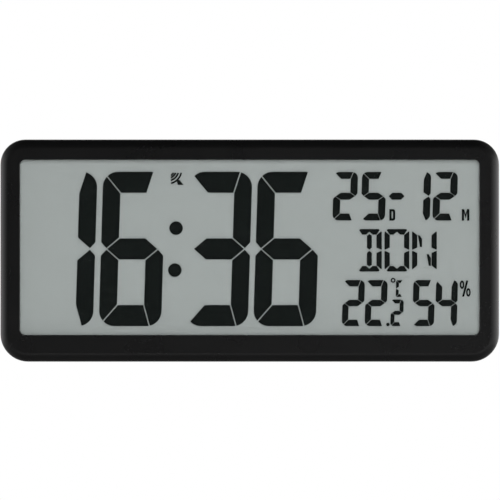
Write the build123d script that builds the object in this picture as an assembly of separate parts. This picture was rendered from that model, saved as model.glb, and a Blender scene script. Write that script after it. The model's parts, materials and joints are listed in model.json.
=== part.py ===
from build123d import *

import math
import os
from dataclasses import dataclass

# All lengths are millimetres. The clock is modelled about the centre of its case as
# seen from the front: +X is to the right, +Z is up and +Y points into the wall.
# The wall plane is Y = 0 and the front face lies at Y = -case_depth. The last step
# moves every piece so that the origin is the keyhole's entry hole in the wall plane.

# Case
case_width = 368.0
case_height = 164.0
case_upper_radius = 18.5
case_lower_radius = 20.5
case_front_radius = 6.5
frame_wall = 2.2

# Window in the front, as borders of the case
side_border = 14.85
top_border = 15.1
bottom_border = 19.8
window_corner_radius = 4.0
window_edge_chamfer = 0.4

# Display stack, from the front wall backwards
tape_thickness = 0.2
tape_width = 2.6
lens_thickness = 1.5
lens_lap = 3.5
lens_corner_radius = 6.0
gasket_thickness = 0.5
gasket_width = 2.2
polariser_thickness = 0.3
polariser_inset = 0.8
glass_thickness = 1.1
glass_lap = 3.0
cell_gap = 0.1
seal_width = 1.4
contact_ledge = 4.0
reflector_gap = 0.02
reflector_thickness = 0.28

# Display holder
holder_plate = 2.0
holder_rim = 1.2
holder_fit = 0.3
holder_ear_width = 11.0
standoff_height = 2.0
standoff_radius = 2.6
board_thickness = 1.6
strip_thickness = 2.0
strip_length = 152.0
strip_gap = 8.0
strip_fit = 0.3

# Screws, all with a cross in the head
screw_row_top_gap = 0.6
screw_row_bottom_gap = 1.3
case_screw_top_x = [-150.0, -55.0, 55.0, 150.0]
case_screw_bottom_x = [-150.0, -62.0, 62.0, 150.0]
case_screw_radius = 1.2
case_screw_length = 10.4
case_screw_head_radius = 2.5
case_screw_head_height = 1.8
holder_screw_x = [-100.0, 0.0, 100.0]
holder_screw_radius = 1.0
holder_screw_length = 6.0
holder_screw_head_radius = 2.2
holder_screw_head_height = 1.5
board_screw_radius = 0.95
board_screw_length = 4.8
board_screw_head_radius = 1.9
board_screw_head_height = 1.2
screw_fit = 0.05
screw_pass = 0.3
cross_width = 0.6
cross_depth = 0.8
cross_reach_share = 0.6
head_edge_share = 0.33

# Bosses that take the screws
boss_radius = 3.2
holder_boss_radius = 3.0
boss_root = 1.0
boss_web_root = 0.3
boss_web = 1.2
boss_web_step = 1.0
hole_spare = 0.8
cover_post_radius = 4.2
cover_post_floor = 2.4
counterbore_radius = 2.9

# Rear cover
cover_depth = 9.0
cover_inset = 1.5
cover_back = 2.4
cover_side = 2.0
cover_edge_chamfer = 1.4
tongue_length = 2.0
tongue_wall = 1.6
tongue_fit = 0.2

# Keyhole for the wall screw, at a distance below the top of the case
keyhole_drop = 28.0
keyhole_entry_radius = 4.75
keyhole_slot_width = 4.6
keyhole_rise = 8.5
keyhole_pocket_depth = 6.0
keyhole_pocket_margin = 3.0
pocket_wall = 1.5

# Cells, size AA, and their compartment
cell_radius = 7.25
cell_body_length = 49.2
cell_nub_radius = 2.7
cell_nub_length = 1.1
cell_edge = 0.6
cell_gap_between = 0.6
cell_side_gap = 0.4
cell_floor_gap = 0.1
cell_door_gap = 0.5
cell_keyhole_drop = 40.0
compartment_wall = 1.5
compartment_front_gap = 1.7
contact_thickness = 0.4
contact_size = 12.0
bridge_link_width = 6.0
contact_tail_width = 3.0
contact_tail_reach = 4.0
contact_tail_drop = 4.0
spring_room = 6.9
spring_wire_radius = 0.35
spring_base_radius = 4.6
spring_tip_radius = 2.9
spring_turns = 4
spring_seat = 0.05

# Battery door, hinged on two pins at its upper edge
door_width = 66.0
door_height = 38.0
door_thickness = 1.8
door_sunk = 0.6
door_gap = 0.4
door_under_gap = 0.3
door_corner_radius = 2.0
door_ledge = 1.5
door_ledge_reach = 2.0
door_pin_radius = 0.7
door_pin_length = 1.8
pin_running_gap = 0.1
latch_width = 12.0
latch_thickness = 1.2
latch_depth = 4.0
latch_gap = 0.4
latch_notch_room = 1.0
grip_ribs = 5
grip_rib_pitch = 1.8
grip_rib_width = 0.8
grip_rib_height = 0.3
grip_rib_length = 16.0

# Fold-out stand, hinged on two pins near the lower edge
stand_hinge_rise = 8.0
stand_hinge_y = -2.5
stand_width = 90.0
stand_door_room = 13.5
stand_thickness = 3.6
stand_rim = 2.5
stand_skin = 1.4
stand_bays = 3
stand_tip_radius = 10.0
stand_knuckle_radius = 2.2
stand_pin_radius = 1.5
stand_pin_length = 1.8
stand_gap = 0.5
stand_under_gap = 0.5
stand_heel_room = 0.4
recess_wall = 1.8
finger_notch_radius = 8.0

# Buttons on the back, left of centre as seen from the front
button_names = ["set", "plus", "minus", "unit", "signal"]
button_first_x = -146.0
button_pitch = 18.0
button_rise = 32.0
button_width = 10.0
button_height = 6.0
button_corner_radius = 2.9
button_sunk = 0.3
button_edge = 0.4
button_fit = 0.3
button_travel = 0.5
button_flange = 1.0
button_flange_reach = 1.2
button_stem_radius = 2.0
button_recess_depth = 1.5
button_recess_margin = 9.0
button_recess_above = 7.0
button_recess_below = 13.0
button_pad = 2.0
switch_size = 6.0
switch_height = 3.5
plunger_radius = 1.75
plunger_proud = 1.0
plunger_sunk = 0.8
switch_room = 0.7

# Boards and what is on them
board_half_length = 165.0
board_height = 35.3
board_boss_gap = 0.7
board_corner_radius = 2.0
board_screw_low_x = [-158.0, -101.0, -35.0, 35.0, 101.0, 158.0]
board_screw_low_rise = 10.3
board_screw_high_x = [-158.0, -62.0, 62.0, 158.0]
board_screw_high_drop = 4.5
chip_cover_x = 5.0
chip_cover_drop = 14.0
chip_cover_radius = 9.0
chip_cover_height = 2.2
chip_cover_round = 1.8
crystal_x = 22.0
crystal_radius = 1.0
crystal_length = 6.0
capacitor_x = [-22.0, -14.0]
capacitor_drop = 10.0
capacitor_radius = 2.5
capacitor_height = 6.0
capacitor_edge = 0.5
resistor_first_x = 44.0
resistor_pitch = 4.0
resistor_count = 8
resistor_drop = 16.0
resistor_width = 1.25
resistor_length = 2.0
resistor_height = 0.5

receiver_board_x = 112.0
receiver_board_drop = 46.0
receiver_board_width = 26.0
receiver_board_height = 15.0
small_board_thickness = 1.0
receiver_chip_size = 6.0
receiver_chip_height = 1.5
receiver_screw_span = 20.0

antenna_x = 115.0
antenna_drop = 26.0
antenna_rod_radius = 4.0
antenna_rod_length = 60.0
antenna_cradle_span = 50.0
antenna_cradle_width = 4.0
antenna_cradle_wall = 1.6
antenna_cradle_mouth = 6.6
antenna_fit = 0.05
antenna_cradle_share = 0.6
bobbin_wall = 0.6
bobbin_length = 26.0
bobbin_flange = 1.0
bobbin_flange_radius = 6.0
bobbin_gap = 0.4
coil_depth = 0.9

sensor_board_x = 124.0
sensor_board_width = 28.0
sensor_board_height = 12.0
sensor_post_span = 22.0
sensor_post_height = 4.0
sensor_post_radius = 2.4
sensor_size = 5.0
sensor_height = 1.4
vent_slots = 5
vent_pitch = 3.0
vent_width = 1.5
vent_height = 14.0

# Leads inside the case, by routes that the cover and the holder leave free
lead_radius = 0.7
receiver_lead_radius = 1.0
bend_share = 0.45
solder_run = 5.0
sensor_solder_run = 3.5
red_lead_middle = [
    (-46.0, -13.2, 12.0),
    (-47.0, -12.6, -3.0),
    (-45.5, -12.2, -18.0),
    (-43.0, -11.9, -31.0),
]
red_lead_solder_x = -42.0
red_lead_solder_drop = 6.0
black_lead_middle = [
    (-42.6, -13.2, -2.0),
    (-42.2, -12.6, -12.0),
    (-40.0, -12.2, -23.0),
    (-37.8, -11.9, -33.0),
]
black_lead_solder_x = -37.0
black_lead_solder_drop = 7.0
receiver_lead_start_x = 102.0
receiver_lead_start_drop = 4.0
receiver_lead_middle = [
    (100.5, -11.8, 20.0),
    (99.0, -11.2, 5.0),
    (100.0, -11.4, -12.0),
    (103.0, -11.9, -27.0),
]
receiver_lead_end_x = 104.0
receiver_lead_end_drop = 5.0
sensor_lead_start_x = 129.0
sensor_lead_start_rise = 3.5
sensor_lead_middle = [(134.0, -12.2, -45.0)]
sensor_lead_end_x = 139.0
sensor_lead_end_drop = 8.0

# Display content: leaning bars, with the height and width that each row is lit to
slant = 0.03
corner_share = 0.245
tip_share = 0.094
flare_share = 0.103
lead_in_share = 0.195
time_row_drop = 1.1
time_digit_x = [-137.0, -86.7, -22.7, 27.4]
time_digits = "1636"
colon_x = -54.8
colon_spacing = 31.0
colon_radius = 5.0
colon_row_drop = 1.25
date_row_rise = 37.8
date_digit_x = [70.5, 91.4, 124.5, 144.2]
date_digits = "2512"
dash_x = 108.4
dash_width = 11.8
weekday_row_drop = 2.1
weekday_letter_x = [88.3, 108.6, 128.9]
weekday_letters = "DON"
letter_tip_share = 0.4
letter_lobe = 2.3
letter_dent = 2.5
letter_waist = 2.0
letter_inset = 0.15
brace_head = 1.45
brace_head_drop = 0.2
brace_side_drop = 2.9
brace_foot = 1.7
brace_foot_inset = 1.6
brace_shift = (6.5, -13.9)
climate_row_drop = 41.05
temperature_digit_x = [76.5, 93.3]
temperature_digits = "22"
humidity_digit_x = [128.4, 145.2]
humidity_digits = "54"
tenths_x = 108.7
tenths_drop = 7.2
tenths_digits = "2"
point_x = 102.0
point_drop = 15.8
point_radius = 1.3
degree_x = 105.8
degree_rise = 16.8
degree_radius = 1.8
degree_stroke = 0.95
celsius_x = 110.7
celsius_rise = 10.7
percent_x = 159.0
percent_rise = 10.7
percent_height = 12.0
percent_spread = 2.35
percent_ring_width = 3.4
percent_ring_height = 6.3
percent_stroke = 1.55
percent_side_stroke = 1.15
day_mark_x = 105.2
month_mark_x = 159.3
mark_row_drop = 13.8
mark_height = 8.5
mark_stroke = 1.7
day_mark_width = 4.4
day_mark_round = 0.8
month_mark_width = 5.6
month_mark_dip = 1.05
wave_x = -60.55
wave_rise = 57.2
wave_radii = [4.75, 6.2, 8.0, 10.2]
wave_spans = [(26.0, 60.0), (20.0, 68.0), (16.0, 73.0), (12.0, 76.0)]
wave_stroke = 1.25
tower_foot = [(7.4, -7.4), (8.7, -7.4), (11.8, -11.1), (7.6, -11.1), (6.7, -8.8)]


@dataclass
class BarStyle:
    """Lit size of a character made of bars, and the strokes that draw it."""

    width: float
    height: float
    upright_stroke: float
    level_stroke: float
    gap: float


time_style = BarStyle(width=46.0, height=113.9, upright_stroke=13.0, level_stroke=15.5, gap=0.85)
date_style = BarStyle(width=17.9, height=35.8, upright_stroke=5.3, level_stroke=5.1, gap=0.4)
climate_style = BarStyle(width=16.1, height=34.0, upright_stroke=4.6, level_stroke=4.7, gap=0.4)
tenths_style = BarStyle(width=9.4, height=19.6, upright_stroke=2.9, level_stroke=2.9, gap=0.25)
celsius_style = BarStyle(width=5.6, height=12.3, upright_stroke=2.1, level_stroke=2.1, gap=0.25)
weekday_style = BarStyle(width=18.3, height=31.3, upright_stroke=3.9, level_stroke=4.1, gap=0.4)

# Depth of the case: the display and its holder in front of the cells and their door
display_depth = (
    frame_wall
    + tape_thickness
    + lens_thickness
    + gasket_thickness
    + polariser_thickness
    + 2 * glass_thickness
    + cell_gap
    + reflector_gap
    + reflector_thickness
    + holder_plate
)
compartment_depth = (
    door_sunk
    + door_thickness
    + cell_door_gap
    + 2 * cell_radius
    + cell_floor_gap
    + compartment_wall
)
case_depth = display_depth + compartment_front_gap + compartment_depth
frame_depth = case_depth - cover_depth

# Levels through the case, from the front to the back
front_y = -case_depth
frame_inside_y = front_y + frame_wall
lens_front_y = frame_inside_y + tape_thickness
lens_back_y = lens_front_y + lens_thickness
polariser_front_y = lens_back_y + gasket_thickness
glass_front_y = polariser_front_y + polariser_thickness
cell_front_y = glass_front_y + glass_thickness
rear_glass_front_y = cell_front_y + cell_gap
reflector_front_y = rear_glass_front_y + glass_thickness + reflector_gap
holder_front_y = reflector_front_y + reflector_thickness
holder_back_y = holder_front_y + holder_plate
board_front_y = holder_back_y + standoff_height
board_back_y = board_front_y + board_thickness
frame_back_y = front_y + frame_depth
boss_end_y = frame_back_y - tongue_length
antenna_y = holder_back_y + bobbin_flange_radius + bobbin_gap
cover_inside_y = -cover_back

# Window and display outlines, as half widths and the heights of their edges
window_right = case_width / 2 - side_border
window_top = case_height / 2 - top_border
window_bottom = -case_height / 2 + bottom_border
window_z = (window_top + window_bottom) / 2
glass_right = window_right + glass_lap
glass_top = window_top + glass_lap
rear_glass_bottom = window_bottom - glass_lap
glass_bottom = rear_glass_bottom - contact_ledge
strip_z = (rear_glass_bottom + glass_bottom) / 2
holder_right = glass_right + holder_fit + holder_rim
holder_top = glass_top + holder_fit + holder_rim
holder_bottom = glass_bottom - holder_fit - holder_rim
screw_row_top = holder_top + screw_row_top_gap + boss_radius
screw_row_bottom = holder_bottom - screw_row_bottom_gap - boss_radius

# Board and what stands on it or lines up with it
board_bottom_z = screw_row_bottom + boss_radius + board_boss_gap
board_top_z = board_bottom_z + board_height
board_screw_low_z = board_bottom_z + board_screw_low_rise
board_screw_high_z = board_top_z - board_screw_high_drop
chip_cover_z = board_top_z - chip_cover_drop
capacitor_z = board_top_z - capacitor_drop
resistor_z = board_top_z - resistor_drop
button_z = button_rise - case_height / 2
sensor_board_z = button_z
receiver_board_z = case_height / 2 - receiver_board_drop
antenna_z = case_height / 2 - antenna_drop
red_lead_solder = (red_lead_solder_x, board_top_z - red_lead_solder_drop)
black_lead_solder = (black_lead_solder_x, board_top_z - black_lead_solder_drop)
receiver_lead_start = (receiver_lead_start_x, receiver_board_z - receiver_lead_start_drop)
receiver_lead_end = (receiver_lead_end_x, board_top_z - receiver_lead_end_drop)
sensor_lead_start = (sensor_lead_start_x, sensor_board_z + sensor_lead_start_rise)
sensor_lead_end = (sensor_lead_end_x, board_top_z - sensor_lead_end_drop)

# Rows of the display's content
time_row_z = window_z - time_row_drop
colon_row_z = window_z - colon_row_drop
date_row_z = window_z + date_row_rise
mark_row_z = date_row_z - mark_row_drop
weekday_row_z = window_z - weekday_row_drop
climate_row_z = window_z - climate_row_drop
tenths_z = climate_row_z - tenths_drop
point_z = climate_row_z - point_drop
degree_z = climate_row_z + degree_rise
celsius_z = climate_row_z + celsius_rise
percent_z = climate_row_z + percent_rise
wave_z = window_z + wave_rise

# Compartment, worked out from the cells
keyhole_z = case_height / 2 - keyhole_drop
cell_centre_z = keyhole_z - cell_keyhole_drop
cell_row_offset = cell_radius + cell_gap_between / 2
cell_compartment_floor_y = compartment_wall - compartment_depth
cell_y = cell_compartment_floor_y + cell_floor_gap + cell_radius
compartment_half_height = cell_row_offset + cell_radius + cell_side_gap
cell_total_length = cell_body_length + cell_nub_length
compartment_half_length = (cell_total_length + spring_room) / 2 + contact_thickness
door_outer_y = -door_sunk
door_inner_y = door_outer_y - door_thickness
door_hinge_y = (door_outer_y + door_inner_y) / 2
door_ledge_y = door_inner_y - door_under_gap
door_top_z = cell_centre_z + door_height / 2
door_bottom_z = cell_centre_z - door_height / 2
door_hinge_z = door_top_z - door_thickness / 2

# Stand recess, worked out from the stand
stand_hinge_z = stand_hinge_rise - case_height / 2
recess_half_width = stand_width / 2 + stand_gap
recess_floor_y = stand_hinge_y - stand_knuckle_radius - stand_under_gap
recess_top_z = door_bottom_z - stand_door_room
stand_length = recess_top_z - stand_gap - stand_hinge_z
recess_bottom_z = stand_hinge_z - stand_knuckle_radius - stand_heel_room

# Buttons, worked out from the cover and the switches
button_x = [button_first_x + button_pitch * i for i in range(len(button_names))]
button_recess_y = -button_recess_depth
button_wall_y = button_recess_y - button_pad
button_flange_y = button_wall_y - button_fit
switch_top_y = board_back_y + switch_height
plunger_top_y = switch_top_y + plunger_proud


def block(x_low, x_high, y_low, y_high, z_low, z_high):
    """A box given by its limits."""
    corner = Pos(x_low, y_low, z_low)
    return corner * Box(x_high - x_low, y_high - y_low, z_high - z_low, align=Align.MIN)


def post(x, z, radius, y_low, y_high):
    """A round post or hole that runs front to back."""
    upended = Cylinder(radius, y_high - y_low, align=(Align.CENTER, Align.CENTER, Align.MIN))
    return Pos(x, y_high, z) * Rot(90, 0, 0) * upended


def axle(x_low, x_high, y, z, radius):
    """A round bar or hole that runs left to right."""
    lying = Cylinder(radius, x_high - x_low, align=(Align.CENTER, Align.CENTER, Align.MIN))
    return Pos(x_low, y, z) * Rot(0, 90, 0) * lying


def upright(sketch, y_low, thickness):
    """Thicken a sketch, drawn in X and Z, from y_low towards the wall."""
    return extrude(Plane.XZ.offset(-y_low) * sketch, amount=thickness, dir=(0, 1, 0))


def panel(right, bottom, top, radius, y_low, thickness):
    """An upright plate with rounded corners, the same to the left as to the right."""
    sketch = Pos(0, (top + bottom) / 2) * RectangleRounded(2 * right, top - bottom, radius)
    return upright(sketch, y_low, thickness)


def screws(places, seat_y, radius, length, head_radius, head_height):
    """Screws driven from the back, with their heads seated at seat_y."""
    made = []
    for x, z in places:
        shank = post(x, z, radius, seat_y - length, seat_y)
        head = post(x, z, head_radius, seat_y, seat_y + head_height)
        head = fillet(head.edges().group_by(Axis.Y)[-1], head_height * head_edge_share)
        arm = head_radius * cross_reach_share
        floor_y = seat_y + head_height - cross_depth
        top_y = seat_y + head_height
        level = block(x - arm, x + arm, floor_y, top_y, z - cross_width / 2, z + cross_width / 2)
        plumb = block(x - cross_width / 2, x + cross_width / 2, floor_y, top_y, z - arm, z + arm)
        made.append(shank + head - level - plumb)
    return made


case_screw_places = [(x, screw_row_top) for x in case_screw_top_x]
case_screw_places += [(x, screw_row_bottom) for x in case_screw_bottom_x]
holder_screw_places = [(x, z) for z in (screw_row_bottom, screw_row_top) for x in holder_screw_x]
board_screw_places = [(x, board_screw_low_z) for x in board_screw_low_x]
board_screw_places += [(x, board_screw_high_z) for x in board_screw_high_x]
receiver_screw_places = [
    (receiver_board_x - receiver_screw_span / 2, receiver_board_z),
    (receiver_board_x + receiver_screw_span / 2, receiver_board_z),
]
sensor_screw_places = [
    (sensor_board_x - sensor_post_span / 2, sensor_board_z),
    (sensor_board_x + sensor_post_span / 2, sensor_board_z),
]


def case_outline(inset):
    """The outline of the case, or a line at an even distance inside it."""
    sheet = Rectangle(case_width - 2 * inset, case_height - 2 * inset)
    sheet = fillet(sheet.vertices().group_by(Axis.Y)[-1], case_upper_radius - inset)
    return fillet(sheet.vertices().group_by(Axis.Y)[0], case_lower_radius - inset)


def make_front_frame():
    """The front shell: rounded outside, a window in front, screw bosses inside."""
    shell = upright(case_outline(0.0), front_y, frame_depth)
    shell = fillet(shell.edges().group_by(Axis.Y)[0], case_front_radius)
    hollow = upright(case_outline(frame_wall), frame_inside_y, frame_depth)
    hollow = fillet(hollow.edges().group_by(Axis.Y)[0], case_front_radius - frame_wall)
    shell -= hollow
    shell -= panel(
        window_right, window_bottom, window_top, window_corner_radius, front_y, 2 * frame_wall
    )
    front_face = shell.faces().sort_by(Axis.Y)[0]
    shell = chamfer(front_face.inner_wires()[0].edges(), window_edge_chamfer)

    for x, z in case_screw_places:
        shell += post(x, z, boss_radius, frame_inside_y - boss_root, boss_end_y)
        wall_z = math.copysign(case_height / 2 - frame_wall + boss_web_root, z)
        web_low, web_high = sorted((z, wall_z))
        shell += block(
            x - boss_web / 2,
            x + boss_web / 2,
            frame_inside_y,
            boss_end_y - boss_web_step,
            web_low,
            web_high,
        )
    for x, z in holder_screw_places:
        shell += post(x, z, holder_boss_radius, frame_inside_y - boss_root, holder_front_y)
    for x, z in case_screw_places:
        depth = case_screw_length - cover_post_floor + hole_spare
        shell -= post(x, z, case_screw_radius + screw_fit, boss_end_y - depth, boss_end_y)
    for x, z in holder_screw_places:
        depth = holder_screw_length - holder_plate + hole_spare / 2
        shell -= post(
            x, z, holder_screw_radius + screw_fit, holder_front_y - depth, holder_front_y
        )
    return shell


def make_window_lens():
    """The clear pane behind the window."""
    return panel(
        window_right + lens_lap,
        window_bottom - lens_lap,
        window_top + lens_lap,
        lens_corner_radius,
        lens_front_y,
        lens_thickness,
    )


def make_lens_tape():
    """The adhesive ring that bonds the pane to the front wall."""
    outer = panel(
        window_right + lens_lap,
        window_bottom - lens_lap,
        window_top + lens_lap,
        lens_corner_radius,
        frame_inside_y,
        tape_thickness,
    )
    inner_lap = lens_lap - tape_width
    hole = panel(
        window_right + inner_lap,
        window_bottom - inner_lap,
        window_top + inner_lap,
        window_corner_radius + inner_lap,
        frame_inside_y,
        tape_thickness,
    )
    return outer - hole


def make_display_gasket():
    """The foam ring between the pane and the display."""
    inner_lap = glass_lap - gasket_width
    outer = panel(
        glass_right,
        rear_glass_bottom,
        glass_top,
        window_corner_radius,
        lens_back_y,
        gasket_thickness,
    )
    hole = panel(
        window_right + inner_lap,
        window_bottom - inner_lap,
        window_top + inner_lap,
        window_corner_radius,
        lens_back_y,
        gasket_thickness,
    )
    return outer - hole


def sheet(right, bottom, top, y_low, thickness):
    """A square-cornered pane of the display."""
    return block(-right, right, y_low, y_low + thickness, bottom, top)


def make_front_polariser():
    """The film on the display's front glass."""
    return sheet(
        glass_right - polariser_inset,
        rear_glass_bottom + polariser_inset,
        glass_top - polariser_inset,
        polariser_front_y,
        polariser_thickness,
    )


def make_front_glass():
    """The larger glass, whose lower ledge carries the display's contacts."""
    return sheet(glass_right, glass_bottom, glass_top, glass_front_y, glass_thickness)


def make_rear_glass():
    """The smaller glass behind the liquid crystal."""
    return sheet(glass_right, rear_glass_bottom, glass_top, rear_glass_front_y, glass_thickness)


def make_cell_seal():
    """The seal that joins the two glasses all round."""
    outer = sheet(glass_right, rear_glass_bottom, glass_top, cell_front_y, cell_gap)
    inner = sheet(
        glass_right - seal_width,
        rear_glass_bottom + seal_width,
        glass_top - seal_width,
        cell_front_y,
        cell_gap,
    )
    return outer - inner


def make_reflector():
    """The silvery rear polariser that gives the display its grey ground."""
    return sheet(
        glass_right - polariser_inset,
        rear_glass_bottom + polariser_inset,
        glass_top - polariser_inset,
        reflector_front_y,
        reflector_thickness,
    )


def lean(points, centre, slope=slant):
    """Lean a character's points to the right and put them in their place."""
    return [(centre[0] + x + slope * z, centre[1] + z) for x, z in points]


def lit(sketch):
    """A lit area of the display, filling the space between the glasses."""
    return upright(sketch, cell_front_y, cell_gap)


def bars_of_digit(style):
    """Outlines of the seven bars of a digit, before gaps and round corners."""
    right = (style.width + style.gap) / 2
    top = (style.height + style.gap) / 2
    inner_x = right - style.upright_stroke - style.gap
    inner_z = top - style.level_stroke - style.gap
    middle = (style.level_stroke + style.gap) / 2
    tip_x = right - tip_share * style.width
    flare = flare_share * style.width
    lead_in = right - lead_in_share * style.width
    upper_left = [(-right, top), (-inner_x, inner_z), (-inner_x, middle), (-tip_x, 0), (-right, flare)]
    upper_right = [
        (lead_in, top),
        (right, top),
        (right, flare),
        (tip_x, 0),
        (inner_x, middle),
        (inner_x, inner_z),
    ]
    upper = [(-right, top), (lead_in, top), (inner_x, inner_z), (-inner_x, inner_z)]
    centre = [
        (-tip_x, 0),
        (-inner_x, middle),
        (inner_x, middle),
        (tip_x, 0),
        (inner_x, -middle),
        (-inner_x, -middle),
    ]
    return {
        "a": upper,
        "b": upper_right,
        "c": [(x, -z) for x, z in upper_right],
        "d": [(x, -z) for x, z in upper],
        "e": [(x, -z) for x, z in upper_left],
        "f": upper_left,
        "g": centre,
    }


digit_bars = {"1": "bc", "2": "abged", "3": "abgcd", "4": "fgbc", "5": "afgcd", "6": "afgedc"}


def make_bars(names, centre, style):
    """The named bars of one digit, parted by gaps and rounded at the outer corners."""
    outlines = bars_of_digit(style)
    right = style.width / 2
    top = style.height / 2
    corners = [(-right, -top), (right, -top), (right, top), (-right, top)]
    frame_line = FilletPolyline(
        *lean(corners, centre), radius=corner_share * style.width, close=True
    )
    rounded = make_face(frame_line)
    made = []
    for name in names:
        bar = Polygon(*lean(outlines[name], centre), align=None)
        bar = offset(bar, amount=-style.gap / 2, kind=Kind.INTERSECTION)
        made.append(lit(bar & rounded))
    return made


def make_digits(text, places, row_z, style):
    """A row of digits, each at its own place."""
    made = []
    for character, x in zip(text, places):
        made += make_bars(digit_bars[character], (x, row_z), style)
    return made


def make_time_segments():
    """Hours and minutes, with the two dots between them."""
    made = make_digits(time_digits, time_digit_x, time_row_z, time_style)
    for side in (-1, 1):
        z = colon_row_z + side * colon_spacing / 2
        made.append(lit(Pos(colon_x + slant * (z - time_row_z), z) * Circle(colon_radius)))
    return made


def make_date_segments():
    """Day and month, with the dash between them and their small letters."""
    made = make_digits(date_digits, date_digit_x, date_row_z, date_style)
    half = date_style.level_stroke / 2
    reach = dash_width / 2
    dash = [(-reach, 0), (half - reach, half), (reach - half, half)]
    dash += [(reach, 0), (reach - half, -half), (half - reach, -half)]
    made.append(lit(Polygon(*lean(dash, (dash_x, date_row_z)), align=None)))

    right = day_mark_width / 2
    top = mark_height / 2
    corners = [(-right, -top), (right, -top), (right, top), (-right, top)]
    bowl = Polygon(*lean(corners, (day_mark_x, mark_row_z), slope=0), align=None)
    bowl = fillet(bowl.vertices().sort_by(Axis.X)[-2:], right * day_mark_round)
    inner = [(mark_stroke - right, mark_stroke - top), (right - mark_stroke, mark_stroke - top)]
    inner += [(right - mark_stroke, top - mark_stroke), (mark_stroke - right, top - mark_stroke)]
    counter = Polygon(*lean(inner, (day_mark_x, mark_row_z), slope=0), align=None)
    counter = fillet(counter.vertices().sort_by(Axis.X)[-2:], (right - mark_stroke) * day_mark_round)
    made.append(lit(bowl - counter))

    right = month_mark_width / 2
    dip = -month_mark_dip
    letter = [(-right, -top), (-right, top), (-right + mark_stroke, top), (0, dip + mark_stroke)]
    letter += [(right - mark_stroke, top), (right, top), (right, -top), (right - mark_stroke, -top)]
    letter += [(right - mark_stroke, mark_stroke), (0, dip - mark_stroke)]
    letter += [(-right + mark_stroke, mark_stroke), (-right + mark_stroke, -top)]
    made.append(lit(Polygon(*lean(letter, (month_mark_x, mark_row_z), slope=0), align=None)))
    return made


def bars_of_letter(style):
    """Outlines of the bars that the weekday's letters use, with their gaps."""
    right = style.width / 2
    top = style.height / 2
    upright_stroke = style.upright_stroke
    level_stroke = style.level_stroke
    bevel = 2 * style.gap
    tip_x = right - letter_tip_share * upright_stroke
    lobe_x = tip_x - letter_lobe
    inner_x = right - upright_stroke
    shoulder_z = top - level_stroke - style.gap
    waist = letter_waist
    half = upright_stroke / 2 - letter_inset
    upper = [
        (-tip_x, top - bevel),
        (bevel - tip_x, top),
        (tip_x - bevel, top),
        (tip_x, top - bevel),
        (lobe_x, top - level_stroke),
        (letter_dent, top - level_stroke),
        (0, top - level_stroke / 2),
        (-letter_dent, top - level_stroke),
        (-lobe_x, top - level_stroke),
    ]
    side = [
        (right, top - 3 * bevel),
        (right - bevel / 2, top - 2 * bevel),
        (inner_x, shoulder_z),
        (inner_x, waist),
        (right - bevel / 2, style.gap),
        (right, 2 * style.gap),
    ]
    middle = [
        (0, shoulder_z + bevel),
        (half, shoulder_z - style.gap),
        (half, waist),
        (0, style.gap),
        (-half, waist),
        (-half, shoulder_z - style.gap),
    ]
    brace = [
        (style.gap - inner_x, shoulder_z),
        (style.gap + brace_head - inner_x, shoulder_z - brace_head_drop),
        (-brace_foot, shoulder_z - brace_side_drop),
        (-brace_foot, waist + style.gap),
        (brace_foot_inset + style.gap - inner_x, waist + style.gap),
    ]
    return {
        "top": upper,
        "bottom": [(x, -z) for x, z in upper],
        "upper_right": side,
        "lower_right": [(x, -z) for x, z in side],
        "upper_left": [(-x, z) for x, z in side],
        "lower_left": [(-x, -z) for x, z in side],
        "upper_middle": middle,
        "lower_middle": [(x, -z) for x, z in middle],
        "upper_brace": brace,
        "lower_brace": [(x + brace_shift[0], z + brace_shift[1]) for x, z in brace],
    }


letter_bars = {
    "D": ["top", "bottom", "upper_right", "lower_right", "upper_middle", "lower_middle"],
    "O": ["top", "bottom", "upper_right", "lower_right", "upper_left", "lower_left"],
    "N": ["upper_right", "lower_right", "upper_left", "lower_left", "upper_brace", "lower_brace"],
}


def make_weekday_segments():
    """The three letters of the weekday."""
    outlines = bars_of_letter(weekday_style)
    made = []
    for letter, x in zip(weekday_letters, weekday_letter_x):
        for name in letter_bars[letter]:
            bar = Polygon(*lean(outlines[name], (x, weekday_row_z), slope=0), align=None)
            made.append(lit(bar))
    return made


def make_climate_segments():
    """Temperature with its unit, and humidity with its sign."""
    made = make_digits(temperature_digits, temperature_digit_x, climate_row_z, climate_style)
    made += make_digits(humidity_digits, humidity_digit_x, climate_row_z, climate_style)
    made += make_digits(tenths_digits, [tenths_x], tenths_z, tenths_style)
    made += make_bars("afed", (celsius_x, celsius_z), celsius_style)
    made.append(lit(Pos(point_x, point_z) * Circle(point_radius)))
    degree = Circle(degree_radius) - Circle(degree_radius - degree_stroke)
    made.append(lit(Pos(degree_x, degree_z) * degree))

    ring = Ellipse(percent_ring_width / 2, percent_ring_height / 2)
    ring -= Ellipse(
        percent_ring_width / 2 - percent_side_stroke, percent_ring_height / 2 - percent_stroke
    )
    drop = (percent_height - percent_ring_height) / 2
    for side in (-1, 1):
        made.append(lit(Pos(percent_x + side * percent_spread, percent_z - side * drop) * ring))
    foot = -percent_height / 2
    stroke = [
        (-percent_spread, foot),
        (percent_stroke - percent_spread, foot),
        (percent_spread, -foot),
        (percent_spread - percent_stroke, -foot),
    ]
    made.append(lit(Pos(percent_x, percent_z) * Polygon(*stroke, align=None)))
    return made


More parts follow.
